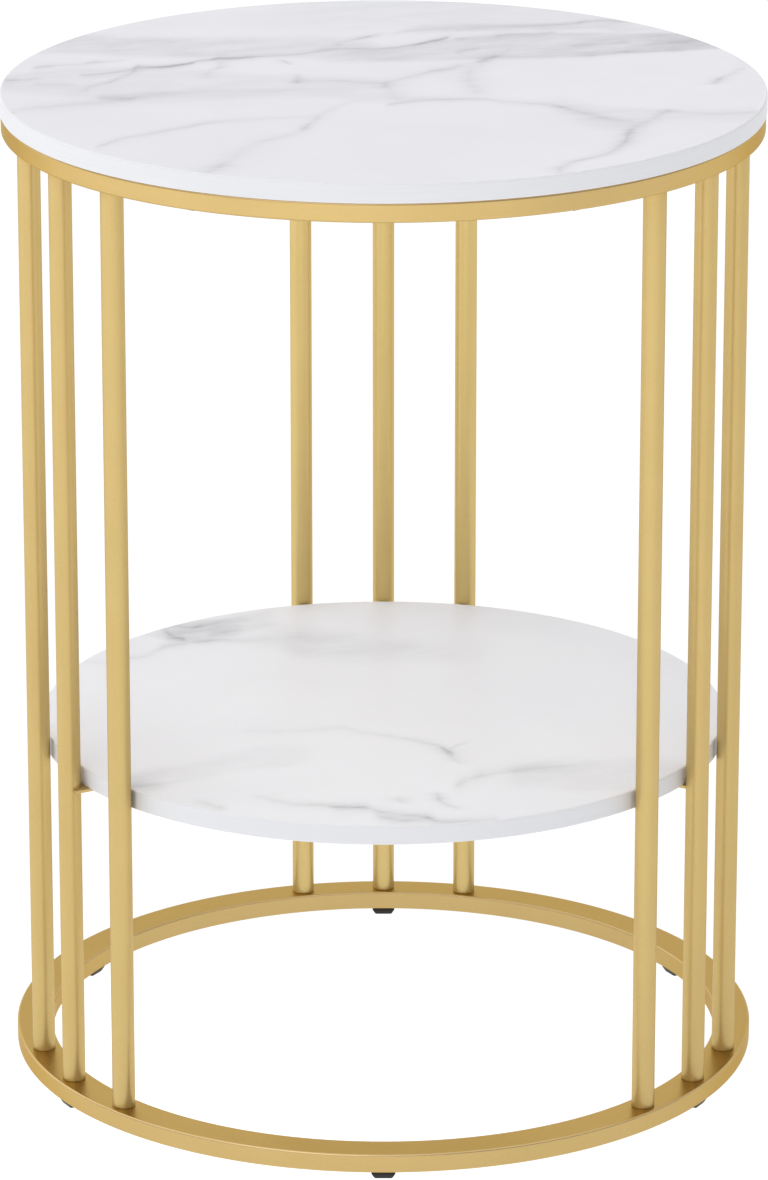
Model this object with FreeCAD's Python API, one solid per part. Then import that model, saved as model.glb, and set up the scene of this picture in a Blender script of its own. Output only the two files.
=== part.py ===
import FreeCAD, Part
import math
import os

# Tiered side table: two round boards held by a frame of two rolled rings and three groups of upright tubes.
# The origin is on the floor under the middle of the table, +Z is up and -Y is the front. All lengths are mm.

# Whole table
table_height = 533.0
foot_height = 5.0

# Boards
board_diameter = 400.0
board_thickness = 10.0
shelf_thickness = 10.0
shelf_top_height = 190.0      # floor to the shelf's upper face
shelf_gap = 1.0               # shelf edge to the inner side of the tubes
board_edge_radius = 1.0       # upper edge of both boards
board_under_radius = 0.5      # lower edge of both boards

# Rolled rings, made from rectangular tube
ring_width = 19.0
ring_height = 10.0
ring_wall = 1.2
ring_corner_radius = 1.0
board_overhang = 0.5          # board edge beyond the rings' outer wall

# Upright tubes
group_names = ["back", "left", "right"]
first_group_angle = 90.0      # the back group, counted from +X
tubes_per_group = 3
tube_step_angle = 14.0        # from one tube to the next in a group
tube_diameter = 12.0
tube_wall = 1.0

# Threaded plugs in the tube ends and the screws that hold the rings to them
plug_length = 12.0
tube_screw_diameter = 6.0
tube_screw_length = 11.0      # under the head
tube_screw_head_diameter = 10.0
tube_screw_head_height = 3.6
access_hole_diameter = 11.0   # lets the screw and its driver into the ring

# Tabs under the shelf, each welded to the middle tube of its group
tab_width = 12.0
tab_thickness = 1.5
tab_side_offset = 3.0         # tab's middle line to the tube's axis, along the ring
tab_outer_reach = 1.0         # tab's outer end beyond the tube's axis
tab_screw_inset = 15.0        # shelf edge to the screw
tab_end_margin = 7.0          # screw to the tab's inner end
tab_corner_radius = 3.0

# Wood screws for the boards
wood_screw_diameter = 4.0
wood_screw_head_diameter = 8.0
wood_screw_head_height = 2.4
board_screw_count = 6
first_board_screw_angle = 0.0
board_skin = 2.0              # board left above a screw's tip

# Push-in glides
foot_names = ["back", "back_left", "front_left", "front", "front_right", "back_right"]
first_foot_angle = 90.0
foot_top_side = 12.5          # square pad, one side facing out from the ring
foot_bottom_side = 9.5
foot_taper_height = 2.75      # floor to the pad's straight rim
foot_corner_radius = 1.0

# Clearances, each on the radius
fit_clearance = 0.1           # plug in tube, screw in thread, glide in hole, tab round its tube
screw_hole_clearance = 0.25   # screw through a ring wall or a tab

# Worked out from the sizes above
board_radius = board_diameter / 2
ring_outer_radius = board_radius - board_overhang
ring_inner_radius = ring_outer_radius - ring_width
pitch_radius = (ring_outer_radius + ring_inner_radius) / 2
tube_radius = tube_diameter / 2
tube_bore_radius = tube_radius - tube_wall
shelf_radius = pitch_radius - tube_radius - shelf_gap

base_ring_bottom = foot_height
base_ring_top = base_ring_bottom + ring_height
board_bottom = table_height - board_thickness
top_ring_bottom = board_bottom - ring_height
shelf_bottom = shelf_top_height - shelf_thickness
tab_bottom = shelf_bottom - tab_thickness
ring_cavity_height = ring_height - 2 * ring_wall

tab_screw_radius = shelf_radius - tab_screw_inset
tab_inner_end = tab_screw_radius - tab_end_margin
tab_outer_end = pitch_radius + tab_outer_reach

group_angles = [first_group_angle + i * 360.0 / len(group_names) for i in range(len(group_names))]
foot_angles = [first_foot_angle + i * 360.0 / len(foot_names) for i in range(len(foot_names))]
board_screw_angles = [first_board_screw_angle + i * 360.0 / board_screw_count for i in range(board_screw_count)]
tube_offsets = [(i - (tubes_per_group - 1) / 2.0) * tube_step_angle for i in range(tubes_per_group)]
tube_angles = [group + offset for group in group_angles for offset in tube_offsets]

up = FreeCAD.Vector(0, 0, 1)
centre = FreeCAD.Vector(0, 0, 0)


def place(radius, angle, height, along=0.0):
    """Point at a radius and an angle round the table, moved `along` the ring's tangent."""
    turn = math.radians(angle)
    x = radius * math.cos(turn) - along * math.sin(turn)
    y = radius * math.sin(turn) + along * math.cos(turn)
    return FreeCAD.Vector(x, y, height)


def upright_cylinder(radius, low, high, point):
    """Cylinder along Z from the height `low` to the height `high`, over a point."""
    base = FreeCAD.Vector(point.x, point.y, low)
    return Part.makeCylinder(radius, high - low, base, up)


def revolved(points):
    """Solid turned round Z from a closed outline of (radius, height) corners."""
    corners = [FreeCAD.Vector(radius, 0, height) for radius, height in points]
    outline = Part.makePolygon(corners + [corners[0]])
    return Part.Face(outline).revolve(centre, up, 360)


def round_edges(solid, height, radius):
    """Round the circular edges that lie flat at one height."""
    edges = [edge for edge in solid.Edges
             if abs(edge.BoundBox.ZMin - height) < 1e-6 and abs(edge.BoundBox.ZMax - height) < 1e-6]
    return solid.makeFillet(radius, edges)


def disc(radius, low, high):
    """Round board with softened edges."""
    board = Part.makeCylinder(radius, high - low, FreeCAD.Vector(0, 0, low), up)
    board = round_edges(board, high, board_edge_radius)
    return round_edges(board, low, board_under_radius)


def rolled_ring(low):
    """Hollow rectangular tube rolled into a ring, with its four outer corners rounded."""
    high = low + ring_height
    ring = revolved([(ring_inner_radius, low), (ring_outer_radius, low),
                     (ring_outer_radius, high), (ring_inner_radius, high)])
    ring = round_edges(ring, low, ring_corner_radius)
    ring = round_edges(ring, high, ring_corner_radius)
    cavity = revolved([(ring_inner_radius + ring_wall, low + ring_wall),
                       (ring_outer_radius - ring_wall, low + ring_wall),
                       (ring_outer_radius - ring_wall, high - ring_wall),
                       (ring_inner_radius + ring_wall, high - ring_wall)])
    return ring.cut(cavity)


def top_board():
    """Upper board, with blind holes for the screws that come up through the top ring."""
    holes = [upright_cylinder(wood_screw_diameter / 2 + fit_clearance, board_bottom,
                              table_height - board_skin + fit_clearance, place(pitch_radius, angle, 0))
             for angle in board_screw_angles]
    return disc(board_radius, board_bottom, table_height).cut(holes)


def shelf_board():
    """Lower board, which stands on the three tabs."""
    holes = [upright_cylinder(wood_screw_diameter / 2 + fit_clearance, shelf_bottom,
                              shelf_top_height - board_skin + fit_clearance, tab_screw_point(angle))
             for angle in group_angles]
    return disc(shelf_radius, shelf_bottom, shelf_top_height).cut(holes)


def top_ring():
    """Ring under the upper board: screw holes below the tubes' axes, access holes above them."""
    cuts = []
    for angle in tube_angles:
        point = place(pitch_radius, angle, 0)
        cuts.append(upright_cylinder(tube_screw_diameter / 2 + screw_hole_clearance, top_ring_bottom,
                                     top_ring_bottom + ring_wall, point))
        cuts.append(upright_cylinder(access_hole_diameter / 2, board_bottom - ring_wall, board_bottom, point))
    for angle in board_screw_angles:
        cuts.append(upright_cylinder(wood_screw_diameter / 2 + screw_hole_clearance, top_ring_bottom,
                                     board_bottom, place(pitch_radius, angle, 0)))
    return rolled_ring(top_ring_bottom).cut(cuts)


def base_ring():
    """Ring at the foot of the tubes: screw holes on top, access and glide holes underneath."""
    cuts = []
    for angle in tube_angles:
        cuts.append(upright_cylinder(tube_screw_diameter / 2 + screw_hole_clearance, base_ring_top - ring_wall,
                                     base_ring_top, place(pitch_radius, angle, 0)))
    for angle in tube_angles + foot_angles:
        cuts.append(upright_cylinder(access_hole_diameter / 2, base_ring_bottom,
                                     base_ring_bottom + ring_wall, place(pitch_radius, angle, 0)))
    return rolled_ring(base_ring_bottom).cut(cuts)


def upright_tube(angle):
    """Open round tube that stands on the base ring and carries the top ring."""
    point = place(pitch_radius, angle, 0)
    outside = upright_cylinder(tube_radius, base_ring_top, top_ring_bottom, point)
    bore = upright_cylinder(tube_bore_radius, base_ring_top, top_ring_bottom, point)
    return outside.cut(bore)


def tube_plug(angle, low):
    """Threaded steel plug that sits flush in a tube's end; the thread is shown as a plain bore."""
    point = place(pitch_radius, angle, 0)
    body = upright_cylinder(tube_bore_radius - fit_clearance, low, low + plug_length, point)
    thread = upright_cylinder(tube_screw_diameter / 2 + fit_clearance, low, low + plug_length, point)
    return body.cut(thread)


def tube_screw(angle, head_face, direction):
    """Screw inside a ring: its head bears on the wall at `head_face`, its shank runs in `direction`."""
    point = place(pitch_radius, angle, 0)
    head_end = head_face - direction * tube_screw_head_height
    tip = head_face + direction * tube_screw_length
    head = upright_cylinder(tube_screw_head_diameter / 2, min(head_face, head_end), max(head_face, head_end), point)
    shank = upright_cylinder(tube_screw_diameter / 2, min(head_face, tip), max(head_face, tip), point)
    return head.fuse(shank).removeSplitter()


def wood_screw(point, head_face, tip):
    """Upward screw with a low pan head under `head_face`."""
    head = upright_cylinder(wood_screw_head_diameter / 2, head_face - wood_screw_head_height, head_face, point)
    head = round_edges(head, head_face - wood_screw_head_height, wood_screw_head_height / 2)
    shank = upright_cylinder(wood_screw_diameter / 2, head_face, tip, point)
    return head.fuse(shank).removeSplitter()


def tab_screw_point(angle):
    """Axis of the screw through a tab, which is also where the shelf's hole is."""
    return place(tab_screw_radius, angle, 0, tab_side_offset)


def shelf_tab(angle):
    """Flat tab under the shelf, coped round its tube and rounded at its inner end."""
    corner = FreeCAD.Vector(tab_inner_end, tab_side_offset - tab_width / 2, tab_bottom)
    plate = Part.makeBox(tab_outer_end - tab_inner_end, tab_width, tab_thickness, corner)
    inner_corners = [edge for edge in plate.Edges
                     if abs(edge.BoundBox.XMax - tab_inner_end) < 1e-6 and edge.BoundBox.YLength < 1e-6]
    plate = plate.makeFillet(tab_corner_radius, inner_corners)
    plate.rotate(centre, up, angle)
    tube = upright_cylinder(tube_radius + fit_clearance, tab_bottom, shelf_bottom, place(pitch_radius, angle, 0))
    hole = upright_cylinder(wood_screw_diameter / 2 + screw_hole_clearance, tab_bottom, shelf_bottom,
                            tab_screw_point(angle))
    return plate.cut([tube, hole])


def rounded_square(side, height, corner_radius):
    """Closed outline of a square with rounded corners, level and centred on Z."""
    half = side / 2
    flat = half - corner_radius
    bulge = flat + corner_radius * math.sqrt(0.5)
    edges = []
    for turn in (0, 90, 180, 270):
        side_end = place(half, turn, height, flat)
        next_side = place(half, turn + 90, height, -flat)
        edges.append(Part.makeLine(place(half, turn, height, -flat), side_end))
        edges.append(Part.Arc(side_end, place(bulge, turn, height, bulge), next_side).toShape())
    return Part.Wire(edges)


def foot(angle):
    """Push-in glide: a tapered square pad under the ring and a shank that stops short of any screw head."""
    free_height = ring_cavity_height - tube_screw_head_height
    shank_top = base_ring_bottom + ring_wall + free_height / 2
    sole = rounded_square(foot_bottom_side, 0, foot_corner_radius)
    rim = rounded_square(foot_top_side, foot_taper_height, foot_corner_radius)
    taper = Part.makeLoft([sole, rim], True, True)
    pad = Part.Face(rim).extrude(up * (foot_height - foot_taper_height))
    shank = upright_cylinder(access_hole_diameter / 2 - fit_clearance, foot_taper_height, shank_top, centre)
    glide = taper.fuse([pad, shank]).removeSplitter()
    glide.rotate(centre, up, angle)
    glide.translate(place(pitch_radius, angle, 0))
    return glide


def save(node, solids):
    """Write one node; identical fasteners share a node as separate solids."""
    shape = solids[0] if len(solids) == 1 else Part.makeCompound(solids)
    shape.exportStep("parts/" + node + ".step")
    print(node, len(solids), "solids, valid", shape.isValid(), "volume", round(shape.Volume, 1))


os.makedirs("parts", exist_ok=True)

save("top_board", [top_board()])
save("shelf_board", [shelf_board()])
save("top_ring", [top_ring()])
save("base_ring", [base_ring()])

for group, group_angle in zip(group_names, group_angles):
    for number, offset in enumerate(tube_offsets, start=1):
        save("tube_" + group + "_" + str(number), [upright_tube(group_angle + offset)])
    save("shelf_tab_" + group, [shelf_tab(group_angle)])

save("tube_plugs_top", [tube_plug(angle, top_ring_bottom - plug_length) for angle in tube_angles])
save("tube_plugs_base", [tube_plug(angle, base_ring_top) for angle in tube_angles])
save("tube_screws_top", [tube_screw(angle, top_ring_bottom + ring_wall, -1) for angle in tube_angles])
save("tube_screws_base", [tube_screw(angle, base_ring_top - ring_wall, 1) for angle in tube_angles])
save("board_screws", [wood_screw(place(pitch_radius, angle, 0), top_ring_bottom, table_height - board_skin)
                      for angle in board_screw_angles])
save("shelf_screws", [wood_screw(tab_screw_point(angle), tab_bottom, shelf_top_height - board_skin)
                      for angle in group_angles])

for name, angle in zip(foot_names, foot_angles):
    save("foot_" + name, [foot(angle)])
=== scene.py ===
from functools import partial
from math import atan2, ceil, cos, degrees, pi, radians, sin, tan
import bmesh
import bpy
import numpy as np
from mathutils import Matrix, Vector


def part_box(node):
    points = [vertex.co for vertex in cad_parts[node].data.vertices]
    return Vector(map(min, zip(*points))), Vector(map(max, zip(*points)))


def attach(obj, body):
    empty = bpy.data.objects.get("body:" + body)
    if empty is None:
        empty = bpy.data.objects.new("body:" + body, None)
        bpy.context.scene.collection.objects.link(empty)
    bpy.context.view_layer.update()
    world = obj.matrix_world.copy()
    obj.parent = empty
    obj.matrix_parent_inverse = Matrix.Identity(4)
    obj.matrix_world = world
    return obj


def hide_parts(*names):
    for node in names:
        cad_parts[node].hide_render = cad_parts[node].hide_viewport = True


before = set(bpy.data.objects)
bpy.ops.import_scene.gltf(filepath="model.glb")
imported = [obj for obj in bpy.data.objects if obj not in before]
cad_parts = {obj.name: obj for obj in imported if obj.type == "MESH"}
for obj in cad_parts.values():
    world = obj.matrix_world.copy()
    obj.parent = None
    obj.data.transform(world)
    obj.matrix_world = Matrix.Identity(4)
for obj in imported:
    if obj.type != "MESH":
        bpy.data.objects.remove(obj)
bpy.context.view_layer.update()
print("frame loaded with", len(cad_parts), "nodes")

mm = 0.001  # the frame is in metres, the sizes below are in millimetres
fullTurn = 2 * pi
weldReach = 0.002  # mm, points of a piece that lie closer than this become one
sharpAbove = 35  # degrees, a sharper bend is not smoothed over


# Colours and nodes

smoothStep = {"interpolation_type": "SMOOTHSTEP"}
stretched = {"vector_type": "TEXTURE"}  # the scale says how long the pattern's features are
mixColours = {"data_type": "RGBA"}  # input 0 is the factor, 6 and 7 are the colours, output 2 is the mix


def linearColour(hexCode):  # sRGB "rrggbb" to linear red, green, blue and an alpha of 1
    srgb = np.array([int(hexCode[i:i + 2], 16) for i in (0, 2, 4)]) / 255
    linear = np.where(srgb <= 0.04045, srgb / 12.92, ((srgb + 0.055) / 1.055) ** 2.4)
    return (*linear.tolist(), 1.0)


# Adds one node. Its kind may be followed by its operation, as in "Math ADD". Inputs go by name or number, or
# as a list from the first on: a socket is linked, a hex colour is stored as linear, and the rest as it is.
def addNode(tree, kind, inputs=(), settings=None, output=0):
    kind, *operation = kind.split()
    node = tree.nodes.new("ShaderNode" + kind)
    if operation:
        node.operation = operation[0]
    for key, value in (settings or {}).items():
        setattr(node, key, value)
    for key, value in inputs.items() if isinstance(inputs, dict) else enumerate(inputs):
        if isinstance(value, bpy.types.NodeSocket):
            tree.links.new(value, node.inputs[key])
        else:
            node.inputs[key].default_value = linearColour(value) if isinstance(value, str) else value
    return node.outputs[output] if node.outputs else node


# An empty material, the function that adds nodes to it, and the piece's own coordinates in millimetres.
def startMaterial(name):
    material = bpy.data.materials.new(name)
    material.use_nodes = True
    material.node_tree.nodes.clear()
    add = partial(addNode, material.node_tree)
    coordinates = add("TexCoord", output="Object")
    return material, add, add("VectorMath SCALE", {0: coordinates, "Scale": 1 / mm})


# Surfaces: every piece is made of grids of points, [row, column, xyz], which are welded where they meet.

# Points on circles about an origin: the radius times cosine and sine of each angle.
def roundPoints(angles, radius=1.0):
    return np.stack([radius * np.cos(angles), radius * np.sin(angles)], -1)


# Arc in a profile: its centre plus a piece of a circle, as (radius, height).
def profileArc(centreRadius, centreHeight, radius, startDegrees, endDegrees, steps):
    turns = np.radians(np.linspace(startDegrees, endDegrees, steps + 1))
    return roundPoints(turns, radius) + (centreRadius, centreHeight)


# Profile of an upright side, from its lower rounding to its upper one, with a guard row close to each, which
# keeps the flat faces flat in the shading.
def roundedSide(outer, bottom, top, underRound, topRound, guard, steps):
    return np.concatenate([
        profileArc(outer - underRound, bottom + underRound, underRound, -90, 0, steps),
        [(outer, bottom + underRound + guard), (outer, top - topRound - guard)],
        profileArc(outer - topRound, top - topRound, topRound, 0, 90, steps),
    ])


# A profile of (radius, height) carried round an upright axis: x and y are radius times cosine and sine.
def carryRound(profile, angles, axis=(0.0, 0.0)):
    profile = np.asarray(profile, float)
    heights = np.repeat(profile[:, 1:], len(angles), 1)
    return np.dstack([roundPoints(angles, profile[:, :1]) + axis, heights])


# Puts the grids into one mesh, in metres, and makes it a piece that stands for the named CAD nodes. Each
# cell of a grid is one face, from its own point to the next row and the next column.
def makePiece(name, patches, materials, nodes):
    points, faces, slots, start = [], [], [], 0
    for grid, slotIndex in patches:
        rows, columns = grid.shape[:2]
        index = start + np.arange(rows * columns).reshape(rows, columns)
        quads = np.stack([index[:-1, :-1], index[1:, :-1], index[1:, 1:], index[:-1, 1:]], -1)
        points.append(grid.reshape(-1, 3) * mm)
        faces.append(quads.reshape(-1, 4))
        slots.append(np.full(len(faces[-1]), slotIndex))
        start += rows * columns
    mesh = bpy.data.meshes.new(name)
    mesh.from_pydata(np.concatenate(points).tolist(), [], np.concatenate(faces).tolist())
    mesh.polygons.foreach_set("material_index", np.concatenate(slots).astype(np.int32))
    shell = bmesh.new()
    shell.from_mesh(mesh)
    bmesh.ops.remove_doubles(shell, verts=shell.verts, dist=weldReach * mm)  # seams, poles and borders
    bmesh.ops.recalc_face_normals(shell, faces=shell.faces)
    openEdges = sum(not edge.is_manifold for edge in shell.edges)
    shell.to_mesh(mesh)
    shell.free()
    mesh.polygons.foreach_set("use_smooth", np.ones(len(mesh.polygons), bool))
    mesh.set_sharp_from_angle(angle=radians(sharpAbove))
    for material in materials:
        mesh.materials.append(material)
    piece = bpy.data.objects.new(name, mesh)
    bpy.context.scene.collection.objects.link(piece)
    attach(piece, "root")
    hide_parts(*nodes)
    print("piece", name, "with", len(mesh.polygons), "faces, open edges:", openEdges)


# A node's box in millimetres: lowest corner, highest corner and the middle.
def nodeBox(node):
    low, high = (np.array(corner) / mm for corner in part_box(node))
    return low, high, (low + high) / 2


# Where the tubes and feet stand, read from the frame

groupNames = ["back", "left", "right"]
footSides = ["back", "back_left", "front_left", "front", "front_right", "back_right"]
tubeNodes = ["tube_" + group + "_" + str(number) for group in groupNames for number in (1, 2, 3)]
footNodes = ["foot_" + side for side in footSides]
tubeCentres = np.array([nodeBox(node)[2] for node in tubeNodes])
footCentres = np.array([nodeBox(node)[2] for node in footNodes])
tubeAngles = np.arctan2(tubeCentres[:, 1], tubeCentres[:, 0])
footAngles = np.arctan2(footCentres[:, 1], footCentres[:, 0])
pitchRadius = float(np.hypot(tubeCentres[0, 0], tubeCentres[0, 1]))


# Marble laminate: decor paper printed as white marble under a pressed melamine film, on fibreboard. It gives
# a cool white body, soft mottled grey bands, thin dark veins and a satin gloss with blurred reflections.

marble = {
    "topBody": ("f0f0f4", "e6e6eb"),  # lighter and darker tone of each board's body
    # The shelf's body is painted paler than the top's: painted light that lifts the shade the top board casts
    # on it.
    "shelfBodyPaintedLight": ("f7f8fd", "eff0f6"),
    "vein": "74757c",
    "cloudSize": 70.0,  # mm, soft change of the body's tone
    "wanderSize": 16.0,  # mm, slow wander of the veins
    "wander": 5.0,  # mm, how far they wander
    "frayedSize": 3.5,  # mm, fine fraying of their edges
    "frayed": 2.0,
    "patchSize": (34.0, 13.0),  # mm, length and width of light and dark patches inside the bands
    "patchTone": (0.45, 1.55),  # least and greatest share of the band's tone
    "streakSize": (26.0, 5.0),  # the same for streaks inside the veins
    "streakTone": (0.6, 1.4),
    "streakTurn": 18.0,  # degrees from the X axis
    "noiseRange": (0.3, 0.7),  # nearly all values of a noise lie between these
    "filmSize": 2.5,  # mm, faint unevenness of the pressed film
    "filmBump": 0.15,
    "filmDepth": 0.02,  # mm
    "roughness": 0.42,
    "glossSpread": 0.08,  # how much the roughness changes over the film
    "specular": 0.22,  # the film is hazy, so it mirrors less than clear resin
    "span": 400.0,  # mm that the curves cover, centred on the board
}

# Each band: how far its edges fade, then points (x, lower y, upper y, tone). Sizes are in mm from the middle,
# tones are in hundredths, and a point without a tone has none.
topBands = [
    (20, [(-200, 80, 118, 15), (-165, 76, 116, 17), (-130, 68, 112, 16), (-100, 66, 108, 17),
      (-60, 70, 112, 14), (-35, 62, 112, 12), (-15, 58, 104, 12), (5, 58, 92, 6), (25, 60, 90)]),
    (9, [(-45, 52, 80), (-15, 55, 84, 8), (5, 56, 88, 15), (22, 58, 96, 15), (38, 60, 108, 16),
      (60, 62, 118, 16), (90, 64, 122, 17), (110, 70, 120, 20), (130, 75, 120, 25),
      (150, 79, 120, 29), (175, 84, 118, 30), (200, 90, 116, 30)]),
    (10, [(0, 116, 128), (20, 124, 138, 10), (60, 127, 142, 11), (90, 130, 144, 11),
      (110, 132, 150, 10), (135, 118, 145, 7), (160, 116, 140, 4)]),
    (14, [(-200, -10, 26, 10), (-160, -20, 42, 10), (-120, -34, 44, 8), (-80, -26, 30, 7),
      (-40, -22, 22, 7), (0, -34, 20, 6), (30, -25, 10)]),
    (60, [(-110, 130, 260), (-60, 130, 260, 5), (0, 128, 260, 8), (60, 120, 260, 8),
      (110, 110, 260, 6), (150, 100, 260, 3)]),
    (14, [(88, -85, -30), (110, -90, -40, 7), (130, -88, -44, 7), (150, -75, -50, 5),
      (200, -75, -45, 5)]),
]

shelfBands = [
    (8, [(-134, 120, 134, 6), (-122, 116, 142, 14), (-112, 112, 145, 18), (-100, 110, 148, 16),
      (-88, 116, 152, 15), (-78, 125, 158, 11), (-66, 135, 165, 8), (-55, 140, 170)]),
    (30, [(-88, 108, 132), (-62, 102, 138, 7), (-45, 86, 132, 12), (-25, 82, 126, 11),
      (0, 78, 116, 9), (30, 78, 110, 7), (70, 78, 108)]),
    (14, [(-150, -140, -110, 8), (-125, -132, -100, 11), (-105, -120, -90, 7), (-80, -100, -70, 6),
      (-50, -92, -60, 5), (-30, -85, -62)]),
    (14, [(55, -125, -95), (80, -125, -90, 7), (105, -130, -85, 7), (130, -130, -80, 7),
      (170, -130, -80, 4)]),
]

# Each vein: the axis it runs along, the width over which it fades, and its points (x, y, tone).
topVeins = [
    ("x", 3.1, [(-134, 41), (-129, 44, 60), (-118, 44, 60), (-105, 50, 68), (-101, 53, 67),
      (-98, 57, 35), (-92, 60, 35), (-90, 62, 68), (-80, 64, 68), (-71, 66, 62), (-66, 67, 38),
      (-45, 73, 26), (-36, 79, 38), (-32, 82, 45), (-22, 85, 30), (-8, 85, 35), (5, 87, 30),
      (12, 92, 38), (18, 95, 56), (25, 101, 68), (31, 106, 65), (35, 111, 56), (39, 116)]),
    ("x", 2.9, [(-188, 36), (-184, 41, 19), (-180, 44, 35), (-172, 47, 20), (-160, 50, 18),
      (-153, 54, 32), (-148, 55, 20), (-138, 58, 11), (-132, 60)]),
    ("x", 2.5, [(-162, 26), (-157, 26, 27), (-150, 28, 27), (-140, 33, 30), (-136, 36, 15),
      (-131, 42, 18), (-128, 44)]),
    ("y", 2.7, [(-158, -20), (-155, -6, 15), (-152, 2, 20), (-146, 8, 27), (-141, 14, 32),
      (-137, 22, 20), (-133, 30, 24), (-131, 42, 23), (-130, 46)]),
    ("x", 2.9, [(-200, 16, 30), (-195, 15, 32), (-188, 16, 15), (-183, 18, 15), (-176, 20)]),
    ("x", 3.1, [(-184, 5), (-180, 6, 18), (-170, 6, 18), (-162, 5, 14), (-158, 2)]),
    ("x", 4.1, [(-150, -24), (-145, -24, 24), (-133, -24, 24), (-125, -17, 15), (-110, -14, 15),
      (-90, -10, 11), (-55, -8, 11), (-20, -3, 6), (-5, 0)]),
    ("x", 7.8, [(-190, -50, 7), (-185, -46, 12), (-170, -42, 19), (-150, -34, 19), (-120, -22, 12),
      (-90, -14)]),
    ("x", 3.4, [(-200, -58, 27), (-192, -57, 20), (-182, -52)]),
    ("x", 3.8, [(-146, -126), (-142, -122, 22), (-130, -108, 20), (-115, -97, 20), (-100, -85, 20),
      (-90, -76, 21), (-78, -72, 17), (-60, -68, 10), (-40, -65, 8), (-25, -62)]),
    ("y", 2.7, [(-45, -98), (-41, -92, 18), (-40, -87, 31), (-36, -74, 16), (-28, -50, 12),
      (-18, -33, 7), (-12, -25)]),
    ("y", 6.3, [(-92, -182, 12), (-88, -175, 20), (-82, -165, 25), (-76, -152, 10), (-70, -130, 10),
      (-55, -108, 13), (-42, -95, 9), (-38, -90)]),
    ("x", 3.7, [(0, -40), (4, -37, 22), (15, -30, 26), (28, -27, 28), (50, -26, 21), (65, -33, 21),
      (85, -38, 23), (95, -48, 16), (102, -56)]),
    ("x", 8.7, [(78, -36), (92, -44, 21), (105, -58, 28), (120, -70, 21), (133, -76, 8),
      (140, -78)]),
    ("y", 3.4, [(146, -44), (146, -50, 36), (144, -55, 29), (138, -68, 18), (128, -85, 23),
      (124, -108, 41), (121, -120, 32), (113, -138, 24), (101, -150, 29), (92, -160, 18),
      (87, -172, 24), (88, -180, 13)]),
    ("x", 5, [(143, -50), (150, -54, 15), (170, -57, 15), (200, -57, 15)]),
    ("y", 2.9, [(190, 44, 7), (187, 38, 15), (183, 28, 15), (178, 22, 24), (175, 14, 36),
      (172, 7, 30), (170, 2)]),
    ("x", 5.3, [(-3, 6), (2, 10, 18), (10, 18, 20), (20, 28, 20), (25, 35, 29), (33, 40, 33),
      (40, 47, 24), (46, 52, 14), (51, 56, 40), (57, 64, 45), (60, 68, 24), (64, 74, 14),
      (68, 84, 9), (72, 92)]),
    ("y", 5.5, [(2, 12), (1, 4, 18), (4, -10, 10), (7, -24, 10), (9, -34)]),
    ("y", 5.4, [(47, 50), (46, 42, 17), (45, 30, 17), (46, 10, 16), (48, -10, 13), (47, -26)]),
    ("x", 3.9, [(-52, 9), (-45, 11, 15), (-30, 14, 15), (-22, 13, 18), (-10, 10, 15), (0, 9, 18),
      (5, 9)]),
    ("y", 2.5, [(-46, 6), (-45, 11, 30), (-45, 18, 18), (-45, 26, 18), (-45, 30)]),
    ("y", 3.1, [(-91, 14), (-92, 24, 11), (-91, 36, 12), (-87, 42, 18), (-86, 56, 15),
      (-86, 62)]),
    ("y", 2.5, [(-49, 48), (-50, 52, 23), (-53, 58, 20), (-55, 62)]),
    ("y", 3.4, [(-24, 86), (-24, 94, 23), (-22, 100, 15), (-15, 106, 38), (-10, 112, 45),
      (-6, 116, 22), (0, 122, 8), (4, 126)]),
    ("x", 3.4, [(0, 118), (12, 126, 15), (25, 130, 12), (45, 133, 11), (60, 137, 14),
      (80, 138, 18), (95, 141, 30), (102, 143, 20), (107, 147, 41), (113, 150, 30), (118, 152, 35),
      (125, 150, 30), (132, 147, 15), (140, 142)]),
    ("x", 3.4, [(36, 110), (40, 108, 23), (46, 107, 8), (58, 113, 8), (63, 116, 27), (72, 119, 20),
      (80, 119, 15), (90, 123, 23), (96, 124)]),
    ("x", 3.6, [(44, 60), (55, 64, 7), (70, 66, 11), (90, 68, 14), (104, 69, 24), (110, 70, 34),
      (118, 73, 22), (126, 77, 27), (135, 79, 24), (145, 80, 19), (158, 82, 14), (166, 85, 7),
      (180, 92)]),
    ("x", 3.4, [(36, 76), (42, 80, 23), (48, 84, 23), (53, 86)]),
    ("x", 3.4, [(98, 90), (103, 92, 18), (110, 95, 15), (122, 97, 7), (128, 100, 18),
      (134, 96)]),
]

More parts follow.
